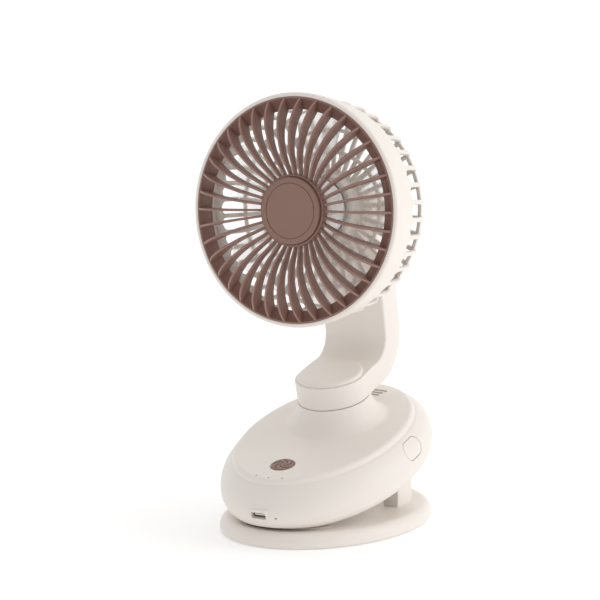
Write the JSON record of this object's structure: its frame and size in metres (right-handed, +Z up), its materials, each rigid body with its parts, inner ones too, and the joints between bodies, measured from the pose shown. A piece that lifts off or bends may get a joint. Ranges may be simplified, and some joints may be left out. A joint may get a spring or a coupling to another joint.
{
  "type": "desk fan",
  "caption": "Small desk fan on an oval clip foot: round grilled head on a swivelling bent arm over a sprung battery body that grips a desk edge.",
  "frame": {"origin": "under the middle of the oval foot, on the surface it stands on", "axes": "+Z up, the fan blows towards -Y, +X to its left hand side seen from behind"},
  "size_m": [0.135, 0.1607, 0.2562],
  "materials": {
    "cream_plastic": "satin moulded, warm cream",
    "brown_plastic": "satin moulded, reddish brown",
    "rubber_pad": "matt soft rubber",
    "steel": "drawn and plated",
    "ballast_steel": "stamped, dull",
    "cell_wrap": null,
    "black_plastic": "matt moulded",
    "board_green": "lacquered board",
    "port_metal": "drawn shell, dull nickel",
    "lamp_lens": "clear light guide",
    "copper_wire": "enamelled winding",
    "magnet": "sintered ring",
    "blade_plastic": "frosted, translucent"
  },
  "bodies": {
    "foot": {"foot_plate": "cream_plastic", "foot_cover": "cream_plastic", "foot_ballast": "ballast_steel", "sole_pad": "rubber_pad", "lower_jaw_pad": "rubber_pad", "foot_screws": "steel", "hinge_pin": "steel", "clip_springs": "steel"},
    "jaw": {"top_shell": "cream_plastic", "bottom_shell": "cream_plastic", "shell_screws": "steel", "upper_jaw_pad": "rubber_pad", "battery_cells": "cell_wrap", "cell_cradle": "black_plastic", "circuit_board": "board_green", "usb_socket": "port_metal", "power_switch": "black_plastic", "side_switch": "black_plastic", "indicator_lamps": "lamp_lens", "charge_lamp": "lamp_lens", "friction_washer": "black_plastic"},
    "power_button": {"power_button": "brown_plastic"},
    "side_button": {"side_button": "cream_plastic"},
    "arm": {"arm_shell": "cream_plastic", "arm_back_cover": "cream_plastic", "puck_lid": "cream_plastic", "swivel_shaft": "black_plastic", "shaft_retainer": "black_plastic", "tilt_pin": "steel", "pin_caps": "brown_plastic", "tilt_washers": "black_plastic"},
    "head": {"front_housing": "cream_plastic", "front_grille": "brown_plastic", "grille_badge": "brown_plastic", "rear_grille": "cream_plastic", "motor_housing": "cream_plastic", "motor_mount": "black_plastic", "motor_bearings": "steel", "motor_stator": "steel", "stator_windings": "copper_wire", "driver_board": "board_green", "tilt_lug": "cream_plastic", "lug_screws": "steel"},
    "rotor": {"fan_blades": "blade_plastic", "rotor_can": "steel", "rotor_magnet": "magnet", "motor_shaft": "steel"}
  },
  "joints": [
    {"name": "clip_hinge", "type": "hinge", "parent": "foot", "child": "jaw", "pos_m": [0, 0.0248, 0.04079], "axis": [-1, 0, 0], "range_deg": [0, 25], "stiffness_Nm_per_rad": 1.2, "springref_deg": -28.65, "deforming": ["clip_springs"]},
    {"name": "power_button_press", "type": "slide", "parent": "jaw", "child": "power_button", "axis": [0, 0.2756, -0.9613], "range_m": [0, 0.0008], "stiffness_N_per_m": 400, "springref_m": -0.002},
    {"name": "side_button_press", "type": "slide", "parent": "jaw", "child": "side_button", "axis": [-0.891, 0.1251, -0.4364], "range_m": [0, 0.0008], "stiffness_N_per_m": 400, "springref_m": -0.002},
    {"name": "neck_swivel", "type": "hinge", "parent": "jaw", "child": "arm", "pos_m": [0, 0.00696, 0.07469], "axis": [0, -0.2756, 0.9613], "range_deg": [-170, 170]},
    {"name": "head_tilt", "type": "hinge", "parent": "arm", "child": "head", "pos_m": [0, 0.02663, 0.1887], "axis": [-1, 0, 0], "range_deg": [-15, 80]},
    {"name": "fan_spin", "type": "hinge", "parent": "head", "child": "rotor", "pos_m": [0, -0.02, 0.1887], "axis": [0, -1, 0], "continuous": true}
  ]
}
